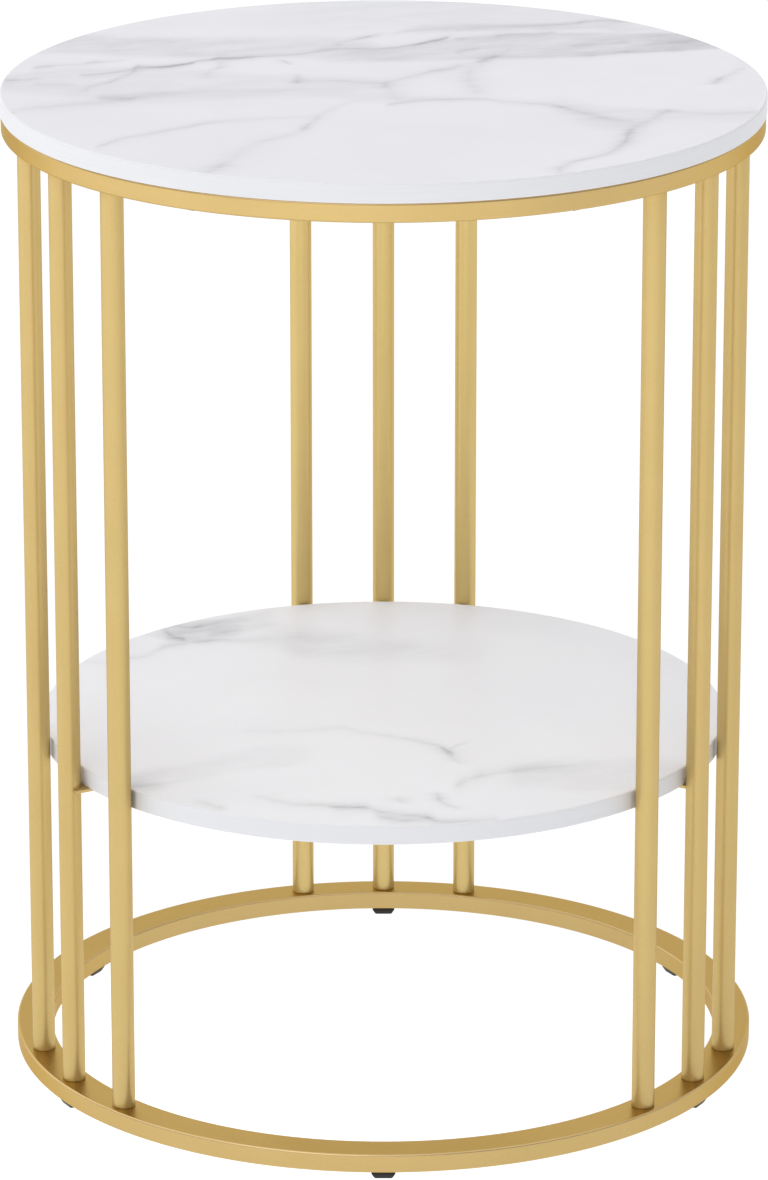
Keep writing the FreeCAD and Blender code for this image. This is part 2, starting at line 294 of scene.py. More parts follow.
shelfVeins = [
    ("x", 4.6, [(-126, 134, 10), (-122, 131, 31), (-119, 124, 42), (-115, 119, 46), (-111, 116, 41),
      (-107, 112)]),
    ("x", 3.4, [(-124, 138), (-118, 140, 20), (-108, 136, 31), (-104, 138, 46), (-98, 142, 26),
      (-92, 145, 31), (-84, 148, 20), (-76, 150, 10), (-70, 152)]),
    ("x", 3.4, [(-118, 128), (-112, 128, 26), (-104, 130, 20), (-96, 134, 26), (-90, 138, 15),
      (-82, 140, 10), (-76, 142)]),
    ("x", 4, [(-100, 120), (-97, 123, 12), (-91, 127, 26), (-86, 130, 20), (-80, 133, 12),
      (-74, 134)]),
    ("x", 4.6, [(-150, 76, 6), (-142, 82, 12), (-130, 88, 13), (-124, 98, 18), (-120, 104, 26),
      (-112, 108, 20), (-100, 112, 26), (-90, 114, 20), (-80, 114, 16), (-65, 116, 10),
      (-52, 118)]),
    ("x", 3.3, [(-82, -37), (-70, -37, 6), (-45, -36, 6), (-22, -32, 10), (-12, -38, 9),
      (0, -44, 14), (10, -48, 16), (20, -54, 19), (30, -61, 23), (33, -66, 37), (36, -70, 10),
      (38, -74)]),
    ("y", 3.3, [(31, -58), (33, -64, 21), (34, -68, 29), (36, -76, 19), (40, -86, 10),
      (43, -92)]),
    ("x", 2.3, [(34, -65), (38, -61, 16), (43, -56, 13), (48, -52)]),
    ("x", 6.5, [(34, -126), (38, -121, 12), (41, -118, 20), (45, -112, 13), (49, -107, 20),
      (56, -103, 14), (64, -99, 18), (72, -97, 28), (80, -95, 27), (90, -93, 22), (100, -91, 13),
      (112, -88, 5), (122, -86)]),
    # This one draws a soft grey patch on the shelf's top beside the front tube of the left group.
    ("x", 6, [(-136, -123), (-131, -122, 26), (-124, -121, 22), (-116, -120, 10),
      (-108, -119)]),
    ("y", 2.8, [(28, -128), (28, -134, 18), (29, -141, 29), (31, -147, 20), (36, -155, 18),
      (42, -162)]),
    ("y", 3.4, [(8, -136), (8, -141, 16), (10, -146, 13), (15, -152)]),
    ("x", 3.7, [(-74, -138), (-64, -140, 9), (-52, -147, 14), (-40, -151, 21), (-30, -152, 23),
      (-25, -154, 38), (-18, -155, 44), (-11, -155, 42), (-5, -158, 21), (2, -163, 25),
      (12, -166, 21), (20, -168, 26), (24, -171, 48), (28, -175, 32), (36, -176, 29),
      (46, -174, 21), (56, -172, 16), (62, -170)]),
    ("x", 5.1, [(-12, -160), (-4, -165, 14), (2, -170, 26), (10, -174, 26), (18, -174, 21),
      (24, -172, 15), (28, -172)]),
    ("x", 3.4, [(-104, -142), (-96, -147, 13), (-90, -150, 18), (-84, -155, 16), (-78, -158)]),
]


# A place in mm from the board's middle, as a share of the span that the curves cover.
def toShare(place):
    return place / marble["span"] + 0.5


# A curve node: the points are shares of the span, and the first and last value hold out to both ends.
def addCurve(add, along, spots):
    curve = add("FloatCurve", {"Value": along})
    spots = sorted(spots)
    spots = [(0.0, spots[0][1])] * (spots[0][0] > 0) + spots + [(1.0, spots[-1][1])] * (spots[-1][0] < 1)
    line = curve.node.mapping.curves[0]
    line.points[0].location = spots[0]
    line.points[-1].location = spots[-1]
    for spot in spots[1:-1]:
        line.points.new(*spot)
    for spot in line.points:
        spot.handle_type = "AUTO_CLAMPED"
    curve.node.mapping.update()
    return curve


# Strength of one vein: its tone, which follows a curve, times e to the power of minus distance over width.
def veinStrength(add, across, vein):
    axis, width, points = vein
    place, side = (0, 1) if axis == "x" else (1, 0)
    along = across["XY"[place]]
    centre = addCurve(add, along, [(toShare(p[place]), toShare(p[side])) for p in points])
    tone = addCurve(add, along, [(toShare(p[place]), sum(p[2:]) / 100) for p in points])
    offset = add("Math SUBTRACT", [across["XY"[side]], centre])
    distance = add("Math ABSOLUTE", [offset])
    power = add("Math MULTIPLY", [distance, -marble["span"] / width])
    fall = add("Math EXPONENT", [power])
    return add("Math MULTIPLY", [fall, tone])


# Strength of one band: its tone times a smooth step up over its lower edge and one down over its upper edge.
def bandStrength(add, across, band):
    fade, points = band
    half = fade / marble["span"] / 2
    strength = addCurve(add, across["X"], [(toShare(p[0]), sum(p[3:]) / 100) for p in points])
    for column, sign in ((1, 1), (2, -1)):
        edge = addCurve(add, across["X"], [(toShare(p[0]), toShare(p[column])) for p in points])
        inward = add("Math SUBTRACT", [across["Y"], edge])
        step = add("MapRange",
                   {"Value": inward, "From Min": -half * sign, "From Max": half * sign}, smoothStep)
        strength = add("Math MULTIPLY", [strength, step])
    return strength


# What a list of strengths takes away together: 1 minus the product of all (1 - strength).
def joinStrengths(add, strengths):
    left = 1.0
    for strength in strengths:
        taken = add("Math MULTIPLY", [strength, left])
        left = add("Math SUBTRACT", [left, taken])
    return add("Math SUBTRACT", [1.0, left])


# White body mixed with the veins' grey by the joined strength of the veins and the bands, each broken up by
# a noise. Two more noises move the place at which the curves are read: place + reach * (noise - 0.5).
def marbleMaterial(name, tones, bands, veins):
    v = marble
    material, add, inMm = startMaterial(name)
    middle = (0.5,) * 3
    moved = inMm
    for size, reach in ((v["wanderSize"], v["wander"]), (v["frayedSize"], v["frayed"])):
        noise = add("TexNoise", {"Vector": inMm, "Scale": 1 / size, "Detail": 3.0}, output="Color")
        centred = add("VectorMath SUBTRACT", [noise, middle])
        moved = add("VectorMath MULTIPLY_ADD", [centred, (reach,) * 3, moved])
    share = add("VectorMath MULTIPLY_ADD", [moved, (1 / v["span"],) * 3, middle])
    across = add("SeparateXYZ", [share]).node.outputs

    bandTone = joinStrengths(add, [bandStrength(add, across, band) for band in bands])
    veinTone = joinStrengths(add, [veinStrength(add, across, vein) for vein in veins])
    broken = []
    for strength, (length, width), (least, most) in ((bandTone, v["patchSize"], v["patchTone"]),
                                                     (veinTone, v["streakSize"], v["streakTone"])):
        turned = add("Mapping",
                     {"Vector": inMm, "Rotation": (0, 0, radians(v["streakTurn"])),
                      "Scale": (length, width, width)}, stretched)
        noise = add("TexNoise", {"Vector": turned, "Scale": 1.0, "Detail": 6.0, "Roughness": 0.6})
        change = add("MapRange",
                     {"Value": noise, "From Min": v["noiseRange"][0], "From Max": v["noiseRange"][1],
                      "To Min": least, "To Max": most})
        broken.append(add("Math MULTIPLY", [strength, change], {"use_clamp": True}))
    veined = joinStrengths(add, broken)

    clouds = add("TexNoise", {"Vector": inMm, "Scale": 1 / v["cloudSize"], "Detail": 4.0})
    body = add("Mix", {0: clouds, 6: tones[0], 7: tones[1]}, mixColours, 2)
    colour = add("Mix", {0: veined, 6: body, 7: v["vein"]}, mixColours, 2)
    film = add("TexNoise", {"Vector": inMm, "Scale": 1 / v["filmSize"], "Detail": 2.0})
    gloss = add("MapRange", {"Value": film, "To Min": v["roughness"] - v["glossSpread"] / 2,
                             "To Max": v["roughness"] + v["glossSpread"] / 2})
    bump = add("Bump",
               {"Height": film, "Strength": v["filmBump"], "Distance": v["filmDepth"] * mm}, output="Normal")
    shader = add("BsdfPrincipled",
                 {"Base Color": colour, "Roughness": gloss, "IOR": 1.5, "Specular IOR Level": v["specular"],
                  "Normal": bump})
    add("OutputMaterial", {"Surface": shader})
    return material


# Edge band: extruded white ABS glued round the board. It gives a plain, slightly waxy white rim.

bandValues = {
    "colour": "e3e4e7",
    "shade": "dcdde2",
    "paintedRimLight": "f0f0f4",  # painted highlight on its upper edge, paler to lift the shade on the rounding
    "paintedRimLightHeight": 1.0,  # mm
    "paintedTubeShade": "5c5955",  # painted shade on the band where a tube stands close
    "paintedShadeFrom": 9.2,  # mm from a tube's axis: no painted shade, full painted shade
    "paintedShadeTo": 7.3,
    "paintedTubeShades": {  # strength of the painted shade beside each tube; the middle tubes get none
        "tube_back_1": 0.3, "tube_back_3": 0.4, "tube_left_1": 0.3, "tube_left_3": 0.5,
        "tube_right_1": 0.17, "tube_right_3": 0.3,
    },
    "drawSize": 0.8,  # mm, drawing lines left by the extruder
    "drawLength": 45.0,
    "drawBump": 0.1,
    "drawDepth": 0.02,  # mm
    "roughness": 0.38,
}


# Plain band, with a painted highlight that makes it paler towards the board's upper face over the painted
# height.
# Each listed tube darkens it with painted shade, by its strength times a smooth step of the distance to the
# tube's axis, and the shades add up.
def bandMaterial(name, board, paintedTubeShades):
    v = bandValues
    material, add, inMm = startMaterial(name)
    drawn = add("Mapping",
                {"Vector": inMm, "Scale": (v["drawLength"], v["drawLength"], v["drawSize"])}, stretched)
    lines = add("TexNoise", {"Vector": drawn, "Scale": 1.0, "Detail": 3.0})
    colour = add("Mix", {0: lines, 6: v["colour"], 7: v["shade"]}, mixColours, 2)
    height = add("SeparateXYZ", [inMm], output="Z")
    boardTop = nodeBox(board)[1][2]
    # Painted highlight: paler towards the board's upper face, which lifts the shade on the rounded edge.
    paintedRimLight = add("MapRange",
                  {"Value": height, "From Min": boardTop - v["paintedRimLightHeight"], "From Max": boardTop})
    colour = add("Mix", {0: paintedRimLight, 6: colour, 7: v["paintedRimLight"]}, mixColours, 2)
    # Painted shade: the band darkens beside each listed tube, where shade falls between tube and shelf.
    if paintedTubeShades:
        flat = add("VectorMath MULTIPLY", [inMm, (1, 1, 0)])
        paintedShade = 0.0
        for tube, strength in paintedTubeShades.items():
            x, y = nodeBox(tube)[2][:2]
            distance = add("VectorMath DISTANCE", [flat, (x, y, 0)], output="Value")
            near = add("MapRange",
                       {"Value": distance, "From Min": v["paintedShadeFrom"], "From Max": v["paintedShadeTo"],
                        "To Max": strength}, smoothStep)
            paintedShade = add("Math ADD", [near, paintedShade])
        colour = add("Mix", {0: paintedShade, 6: colour, 7: v["paintedTubeShade"]}, mixColours, 2)
    bump = add("Bump",
               {"Height": lines, "Strength": v["drawBump"], "Distance": v["drawDepth"] * mm}, output="Normal")
    shader = add("BsdfPrincipled",
                 {"Base Color": colour, "Roughness": v["roughness"], "IOR": 1.52, "Normal": bump})
    add("OutputMaterial", {"Surface": shader})
    return material


# Gold powder coat: steel tube polished along its length, then coated with bronze flake in clear resin and
# baked. It gives a soft wide highlight, a fine sparkle, a faint orange peel and faint lines along the tube.

goldValues = {
    "ring": {"tones": ("c9ad74", "c1a66c"), "metallic": 1.0},  # on flat faces the flake mirrors as one
    "tube": {"tones": ("cfb579", "c7ad71"), "metallic": 0.5},  # round a tube the resin's colour shows
    "backTubePaintedLight": {"tones": ("dbc181", "d3ba79"), "metallic": 0.5},  # painted paler to lift the darker reflections on the back tubes
    "specular": 0.3,  # of the resin
    "paintedArrisHighlight": "d9bd88",  # painted highlight along the bends of a ring
    "paintedArrisReach": 1.2,  # mm from the section's corner
    "edgeTint": "dfcba6",  # reflection at a glancing angle
    "patchSize": 35.0,  # mm, slow change of the coat's tone
    "flakeSize": 0.7,  # mm, drawn larger than real flake so that it shows
    "flakeTone": 0.35,  # how far one flake's tone may lie from the next
    "peelSize": 2.2,  # mm between the swells of the orange peel
    "lineWidth": 0.6,  # mm, polishing lines
    "lineLength": 60.0,
    "lineHeight": 0.25,  # against the height of the peel
    "bump": 0.25,
    "depth": 0.03,  # mm
    "roughness": 0.34,
    "glossSpread": 0.1,  # how much the roughness changes from line to line
}


# Lines follow the metal: along Z on an upright tube, and round the table on a ring, where the noise changes
# quickly with the radius and the height and slowly with x and y. A ring's node gives the place of its bends:
# the painted arris highlight is a smooth step towards the section's side times one towards its top.
def goldMaterial(name, coat, ring=None):
    v = goldValues
    material, add, inMm = startMaterial(name)
    wide, thin = 1 / v["lineLength"], 1 / v["lineWidth"]
    if ring:
        parts = add("SeparateXYZ", [inMm]).node.outputs
        flat = add("CombineXYZ", {"X": parts["X"], "Y": parts["Y"]})
        radius = add("VectorMath LENGTH", [flat], output="Value")
        section = add("CombineXYZ", {"X": radius, "Z": parts["Z"]})
        slow = add("VectorMath SCALE", {0: flat, "Scale": wide})
        grain = add("VectorMath MULTIPLY_ADD", [section, (thin,) * 3, slow])
    else:
        grain = add("VectorMath MULTIPLY", [inMm, (thin, thin, wide)])
    lines = add("TexNoise", {"Vector": grain, "Scale": 1.0, "Detail": 2.0})
    patches = add("TexNoise", {"Vector": inMm, "Scale": 1 / v["patchSize"], "Detail": 3.0})
    flake = add("TexVoronoi", {"Vector": inMm, "Scale": 1 / v["flakeSize"]}, output="Color")
    flakeTone = add("SeparateColor", [flake])
    peel = add("TexNoise", {"Vector": inMm, "Scale": 1 / v["peelSize"], "Detail": 1.0})

    tone = add("Math MULTIPLY_ADD", [flakeTone, v["flakeTone"], patches])
    tone = add("Math SUBTRACT", [tone, v["flakeTone"] / 2], {"use_clamp": True})
    light, dark = v[coat]["tones"]
    colour = add("Mix", {0: tone, 6: light, 7: dark}, mixColours, 2)
    # Painted highlight: a paler gold along the upper bends of a ring.
    if ring:
        ringHigh = nodeBox(ring)[1]
        offset = add("Math SUBTRACT", [radius, pitchRadius])
        fromPitch = add("Math ABSOLUTE", [offset])
        nearSide, nearTop = (
            add("MapRange", {"Value": place, "From Min": end - v["paintedArrisReach"],
                             "From Max": end - v["paintedArrisReach"] / 2}, smoothStep)
            for place, end in ((fromPitch, ringHigh[0] - pitchRadius), (parts["Z"], ringHigh[2])))
        paintedArrisHighlight = add("Math MULTIPLY", [nearSide, nearTop])
        colour = add("Mix", {0: paintedArrisHighlight, 6: colour, 7: v["paintedArrisHighlight"]}, mixColours, 2)
    gloss = add("Math MULTIPLY_ADD", [lines, v["glossSpread"], v["roughness"] - v["glossSpread"] / 2])
    relief = add("Math MULTIPLY_ADD", [lines, v["lineHeight"], peel])
    bump = add("Bump",
               {"Height": relief, "Strength": v["bump"], "Distance": v["depth"] * mm}, output="Normal")
    shader = add("BsdfPrincipled",
                 {"Base Color": colour, "Metallic": v[coat]["metallic"], "Roughness": gloss, "Normal": bump,
                  "Specular IOR Level": v["specular"], "Specular Tint": v["edgeTint"]})
    add("OutputMaterial", {"Surface": shader})
    return material


# Backing sheet: plain white melamine paper under the boards. It gives a flat matt white with a faint mottle.
backingValues = {"colour": "f7f6f5", "shade": "e9e8e6", "grainSize": 3.0, "detail": 6.0, "bump": 0.2,
                 "depth": 0.02, "roughness": 0.55, "sockets": {"IOR": 1.5}}

# Zinc-plated steel: bright bluish plate over turned or pressed steel. It gives a cool grey, cloudy spangle.
zincValues = {"colour": "b9bcc0", "shade": "9fa3a8", "grainSize": 1.2, "detail": 3.0, "roughness": 0.32,
              "glossSpread": 0.16, "sockets": {"Metallic": 1.0}}

# Moulded polypropylene: black, with a spark-eroded mould texture. It gives a soft charcoal with a fine grain.
glideValues = {"colour": "221a13", "shade": "1a140f", "grainSize": 0.5, "detail": 2.0, "bump": 0.35,
               "depth": 0.05, "roughness": 0.5, "sockets": {"IOR": 1.49, "Specular IOR Level": 0.3}}


# A plain material: a noise of the grain's size in mm mixes its two tones. Where the values ask for it, the
# same noise raises the surface, and the roughness is its middle value plus spread * (noise - 0.5).
def plainMaterial(name, values):
    material, add, inMm = startMaterial(name)
    grain = add("TexNoise",
                {"Vector": inMm, "Scale": 1 / values["grainSize"], "Detail": values["detail"]})
    colour = add("Mix", {0: grain, 6: values["colour"], 7: values["shade"]}, mixColours, 2)
    sockets = {"Base Color": colour, "Roughness": values["roughness"], **values["sockets"]}
    if "glossSpread" in values:
        spread, least = values["glossSpread"], values["roughness"] - values["glossSpread"] / 2
        sockets["Roughness"] = add("Math MULTIPLY_ADD", [grain, spread, least])
    if "bump" in values:
        sockets["Normal"] = add("Bump", {"Height": grain, "Strength": values["bump"],
                                         "Distance": values["depth"] * mm}, output="Normal")
    shader = add("BsdfPrincipled", sockets)
    add("OutputMaterial", {"Surface": shader})
    return material


topMarble = marbleMaterial("marble_laminate_top", marble["topBody"], topBands, topVeins)
shelfMarble = marbleMaterial("marble_laminate_shelf", marble["shelfBodyPaintedLight"], shelfBands, shelfVeins)
topBand = bandMaterial("white_abs_edge_band_top", "top_board", {})
shelfBand = bandMaterial("white_abs_edge_band_shelf", "shelf_board", bandValues["paintedTubeShades"])
backing = plainMaterial("melamine_backing", backingValues)
topRingGold = goldMaterial("gold_powder_coat_top_ring", "ring", "top_ring")
baseRingGold = goldMaterial("gold_powder_coat_base_ring", "ring", "base_ring")
tubeGold = goldMaterial("gold_powder_coat_tube", "tube")
backTubePaintedLightGold = goldMaterial("gold_powder_coat_tube_back_painted_light", "backTubePaintedLight")
zinc = plainMaterial("zinc_plated_steel", zincValues)
glideBlack = plainMaterial("black_polypropylene", glideValues)
print("materials ready")


# Boards: a profile from the middle of the top face, over the rounded edge, to the middle of the underside.

boardValues = {
    "topEdge": 1.0,  # mm, rounding of the upper edge, which is also the band's thickness
    "underEdge": 0.5,
    "guard": 0.3,  # mm between a rounding and the row close to it
    "segments": 360, "faceRows": 8, "arcSteps": 6,
}


# The given radii, or points, all at one height.
def atHeight(places, height):
    return np.column_stack([places, np.full(len(places), height)])


# The face, the rim and the underside are one profile each, carried round the table's axis.
def addBoard(node, laminate, band):
    v = boardValues
    low, high = nodeBox(node)[:2]
    outer, bottom, top = high[0], low[2], high[2]
    topRadii, underRadii = (np.append(np.linspace(0, end - v["guard"], v["faceRows"]), end)
                            for end in (outer - v["topEdge"], outer - v["underEdge"]))
    rim = roundedSide(outer, bottom, top, v["underEdge"], v["topEdge"], v["guard"], v["arcSteps"])
    angles = np.linspace(0, fullTurn, v["segments"] + 1)
    profiles = [atHeight(topRadii, top), rim[::-1], atHeight(underRadii[::-1], bottom)]
    patches = [(carryRound(profile, angles), index) for index, profile in enumerate(profiles)]
    makePiece(node + "_dressed", patches, [laminate, band, backing], [node])


addBoard("top_board", topMarble, topBand)
addBoard("shelf_board", shelfMarble, shelfBand)


# Rings: rectangular tube rolled round the table, hollow, with holes through its upper and lower wall.

ringValues = {
    "wall": 1.2,
    "corner": 1.0,  # mm, outer corners of the section
    "guard": 0.3,
    "cornerSteps": 5,
    "rowShares": (0.1, 0.3, 0.5, 0.7, 0.9),  # rows across a flat face, as shares of its width
    "blockColumns": 8,  # columns across the block of faces round a hole
    "holeRows": 3,  # rows between a hole and the border of its block
    "gapStep": 1.4,  # degrees between columns elsewhere
    "screwHole": 3.25,  # mm, radii
    "woodScrewHole": 2.25,
    "accessHole": 5.5,
    "sameHole": 0.01,  # radians, a foot that stands closer to a tube shares its hole
    "boardScrews": 6,
}
boardScrewAngles = np.arange(ringValues["boardScrews"]) * fullTurn / ringValues["boardScrews"]


# Angles of the columns: even steps across each hole's block, and even steps over each gap between blocks.
def ringColumns(holeAngles, halfBlock):
    centres = np.unique(np.round(np.mod(holeAngles, fullTurn), 6))
    following = np.append(centres[1:], centres[0] + fullTurn)
    columns = []
    for centre, after in zip(centres, following):
        steps = ceil((after - centre - 2 * halfBlock) / radians(ringValues["gapStep"]))
        columns.append(np.linspace(centre - halfBlock, centre + halfBlock, ringValues["blockColumns"] + 1))
        columns.append(np.linspace(centre + halfBlock, after - halfBlock, steps + 1)[1:-1])
    columns = np.concatenate(columns)
    return np.append(columns, columns[0] + fullTurn)


# One flat wall of a ring between two radii. Round a hole, the square border of the block shrinks evenly into
# the circle: each point is the circle's point times (1 - t) plus the border's point times t.
def flatWall(columns, shares, inner, outer, height, holes):
    across = ringValues["blockColumns"]
    plainRows = atHeight(inner + (outer - inner) * shares, height)
    side, ends = np.linspace(-1, 1, across + 1), 2 * shares - 1
    upEnds = np.ones(len(ends) - 1)
    u = np.concatenate([side, upEnds, side[-2::-1], -upEnds])  # the border's walk, along the ring
    w = np.concatenate([-np.ones(across + 1), ends[1:], np.ones(across), ends[-2::-1]])  # and across it
    phi = np.arctan2(w, u)[:, None]
    t = np.linspace(0, 1, ringValues["holeRows"] + 1)[:, None, None]
    starts = []
    for angle, radius in holes:
        away = np.abs(np.mod(columns[:-1] - angle + pi, fullTurn) - pi)
        starts.append((int(np.argmin(away)) - across // 2, radius))
    patches, circles, done = [], [], 0
    for start, radius in sorted(starts):
        patches.append(carryRound(plainRows, columns[done:start + 1]))
        turns = columns[start:start + across + 1]
        borderTurn = np.interp(u, side, turns)
        border = roundPoints(borderTurn, inner + (outer - inner) * (w + 1) / 2)
        middle = (turns[0] + turns[-1]) / 2
        radial, tangent = roundPoints(middle), roundPoints(middle + pi / 2)
        circle = pitchRadius * radial + radius * (np.cos(phi) * tangent + np.sin(phi) * radial)
        flat = circle * (1 - t) + border * t
        patches.append(np.concatenate([flat, np.full(flat.shape[:2] + (1,), height)], -1))
        circles.append(circle)
        done = start + across
    patches.append(carryRound(plainRows, columns[done:]))
    return patches, circles


# The outer side is a profile with its two corners, and the inner side is the same one mirrored about the
# pitch circle. The cavity has plain sides, and each hole is a short tube between the wall's two faces.
def addRing(node, upperHoles, lowerHoles, gold):
    v = ringValues
    low, high = nodeBox(node)[:2]
    outer, bottom, top = high[0], low[2], high[2]
    inner = 2 * pitchRadius - outer
    corner, guard, wall = v["corner"], v["guard"], v["wall"]
    flatInner, flatOuter = inner + corner, outer - corner
    width = flatOuter - flatInner
    holeAngles = np.array([angle for angle, radius in upperHoles + lowerHoles])
    columns = ringColumns(holeAngles, width / 2 / pitchRadius)
    shares = np.array([0, guard / width, *v["rowShares"], 1 - guard / width, 1])

    outside = roundedSide(outer, bottom, top, corner, corner, guard, v["cornerSteps"])
    inside = outside * (-1, 1) + (2 * pitchRadius, 0)
    cavity = (bottom + wall, top - wall)
    patches = [carryRound(outside, columns), carryRound(inside, columns)]
    for radius in (inner + wall, outer - wall):
        patches.append(carryRound([(radius, height) for height in cavity], columns))
    for holes, face, back in ((lowerHoles, bottom, cavity[0]), (upperHoles, top, cavity[1])):
        faceGrids, circles = flatWall(columns, shares, flatInner, flatOuter, face, holes)
        backGrids = flatWall(columns, shares, inner + wall, outer - wall, back, holes)[0]
        patches += faceGrids + backGrids
        patches += [np.stack([atHeight(circle, face), atHeight(circle, back)]) for circle in circles]
    makePiece(node + "_dressed", [(grid, 0) for grid in patches], [gold], [node])


tubeHoles = [(angle, ringValues["screwHole"]) for angle in tubeAngles]
tubeAccess = [(angle, ringValues["accessHole"]) for angle in tubeAngles]
boardHoles = [(angle, ringValues["woodScrewHole"]) for angle in boardScrewAngles]
footOnly = [(angle, ringValues["accessHole"]) for angle in footAngles
            if np.abs(np.angle(np.exp(1j * (tubeAngles - angle)))).min() > ringValues["sameHole"]]
addRing("top_ring", tubeAccess + boardHoles, tubeHoles + boardHoles, topRingGold)
addRing("base_ring", tubeHoles, tubeAccess + footOnly, baseRingGold)


# Upright tubes: a closed profile of the wall, with its cut ends broken, carried round the tube's own axis.

tubeValues = {"wall": 1.0, "outerBreak": 0.35, "innerBreak": 0.2, "guard": 0.3, "segments": 64, "arcSteps": 3}


# The outside from the lower to the upper broken end, then down the bore and back across the lower end.
def addTube(node, gold):
    v = tubeValues
    low, high, middle = nodeBox(node)
    outer, bottom, top = (high[0] - low[0]) / 2, low[2], high[2]
    bore = outer - v["wall"]
    outBreak, inBreak, steps = v["outerBreak"], v["innerBreak"], v["arcSteps"]
    profile = np.concatenate([
        roundedSide(outer, bottom, top, outBreak, outBreak, v["guard"], steps),
        profileArc(bore + inBreak, top - inBreak, inBreak, 90, 180, steps),
        profileArc(bore + inBreak, bottom + inBreak, inBreak, 180, 270, steps),
        [(outer - outBreak, bottom)],
    ])
    angles = np.linspace(0, fullTurn, v["segments"] + 1)
    patches = [(carryRound(profile, angles, middle[:2]), 0)]
    makePiece(node + "_dressed", patches, [gold], [node])


# The back tubes take a paler gold, painted light that lifts their darker reflections.
for node in tubeNodes:
    addTube(node, backTubePaintedLightGold if "back" in node else tubeGold)


# Feet: moulded push-in glides, with a softened sole, a square taper, a straight rim and a round shank.

footValues = {
    "soleHalf": 4.75,  # mm, half the sole's side
    "rimHalf": 6.25,
    "cornerRadius": 1.0,
    "soleRound": 0.3,  # mm, soft edge between the sole and the taper
    "taperHeight": 2.75,
    "rimBreak": 0.15,  # mm, the taper's upper edge, broken on both sides
    "rimRound": 0.3,
    "rimTop": 5.0,
    "shankRadius": 5.4,
    "shankBreak": 0.4,
    "soleRows": 5, "soleSteps": 5, "rimSteps": 4, "cornerSteps": 6,
}


# Walks a square with rounded corners once per row: a corner's arc stands at the half side less the radius
# along both axes, and the radius is never more than the half side.
def carrySquare(profile, cornerRadius, steps):
    halves, heights = profile[:, :1], profile[:, 1:]
    corners = np.append(np.repeat(np.arange(4), steps + 1), 0)
    angles = np.radians(np.append(np.tile(np.linspace(0, 90, steps + 1), 4), 0) + 90 * corners)
    diagonals = np.radians(45 + 90 * corners)
    radii = np.minimum(cornerRadius, halves)
    x = (halves - radii) * np.sign(np.cos(diagonals)) + radii * np.cos(angles)
    y = (halves - radii) * np.sign(np.sin(diagonals)) + radii * np.sin(angles)
    return np.stack([x, y, np.broadcast_to(heights, x.shape)], 2)


# The shank's rows keep the walk of the square's last row: each point is drawn along its own direction to the
# shank's radius. The whole glide is then turned so that one side faces out from the ring.
def addFoot(node, turn):
    v = footValues
    low, high, middle = nodeBox(node)
    bottom, top = low[2], high[2]
    sole, half, rim, shank = v["soleHalf"], v["rimHalf"], v["rimTop"], v["shankRadius"]
    soleRound, rimRound, rimBreak, shankBreak = v["soleRound"], v["rimRound"], v["rimBreak"], v["shankBreak"]
    slope = atan2(v["taperHeight"], half - sole)
    soleFlat = sole - soleRound * tan(slope / 2)  # where the rounding leaves the sole
    taper, taperTurn = v["taperHeight"], degrees(slope) - 90
    pad = np.concatenate([
        atHeight(np.linspace(0, soleFlat, v["soleRows"]), bottom),
        profileArc(soleFlat, bottom + soleRound, soleRound, -90, taperTurn, v["soleSteps"])[1:],
        [(half - rimBreak, taper - rimBreak * tan(slope)), (half, taper + rimBreak)],
        profileArc(half - rimRound, rim - rimRound, rimRound, 0, 90, v["rimSteps"]),
    ])
    walk = carrySquare(pad, v["cornerRadius"], v["cornerSteps"])
    directions = walk[-1, :, :2] / np.linalg.norm(walk[-1, :, :2], axis=1, keepdims=True)
    shankProfile = [(shank, rim), (shank, top - shankBreak), (shank - shankBreak, top), (0, top)]
    shankRows = [atHeight(directions * radius, height) for radius, height in shankProfile]
    x, y, z = np.moveaxis(np.concatenate([walk, shankRows]), 2, 0)
    cosTurn, sinTurn = cos(turn), sin(turn)
    grid = np.stack([x * cosTurn - y * sinTurn + middle[0], x * sinTurn + y * cosTurn + middle[1], z], 2)
    makePiece(node + "_dressed", [(grid, 0)], [glideBlack], [node])


for node, angle in zip(footNodes, footAngles):
    addFoot(node, angle)


# Screws: a head with a driver recess, and a shank. The recess is an outline in polar form, which the rows of
# the head shrink into, and the rest of the profile is turned.

woodScrewValues = {
    "headRadius": 4.0,
    "headHeight": 2.4,
    "crownDrop": 1.44,  # mm, how far the pan head's edge lies under its crown
    "domeFrom": 35,  # degrees from the axis, at the recess
    "domeRows": 6,
    "underBreak": 0.15,  # mm, broken edge under the head
    "shankRadius": 2.0,
    "tipLength": 4.0,
    "armLength": 2.3,  # mm, half length and half width of the cross
    "armWidth": 0.5,
    "recessDepth": 1.3,
    "recessTaper": 0.75,  # share of the cross that is left at the recess's floor
    "recessPoint": 1.15,  # depth in the middle as a share of the recess's depth
    "mouth": 0.05,  # mm under the crown
    "flankTurns": (0.42, 0.6),  # radians, columns beside an arm
}
capScrewValues = {
    "headRadius": 5.0,
    "headHeight": 3.6,
    "chamfer": 0.4,
    "shankRadius": 3.0,
    "tipChamfer": 0.5,
    "socket": 2.5,  # mm, half the width across flats
    "recessDepth": 2.0,
    "drillPoint": 0.5,  # mm, how much deeper the middle is
    "mouth": 0.15,  # mm, depth of the socket's chamfer
    "mouthShare": 1.06,  # width of the mouth as a share of the socket
    "columns": 48,
}


# Cross outline: the nearer of an arm's end, length / cos, and its flank, width / |sin|, in each quarter turn.
def crossOutline(angles):
    quarter = np.mod(angles + pi / 4, pi / 2) - pi / 4
    flank = woodScrewValues["armWidth"] / np.maximum(np.abs(np.sin(quarter)), 1e-6)
    return np.minimum(woodScrewValues["armLength"] / np.cos(quarter), flank)


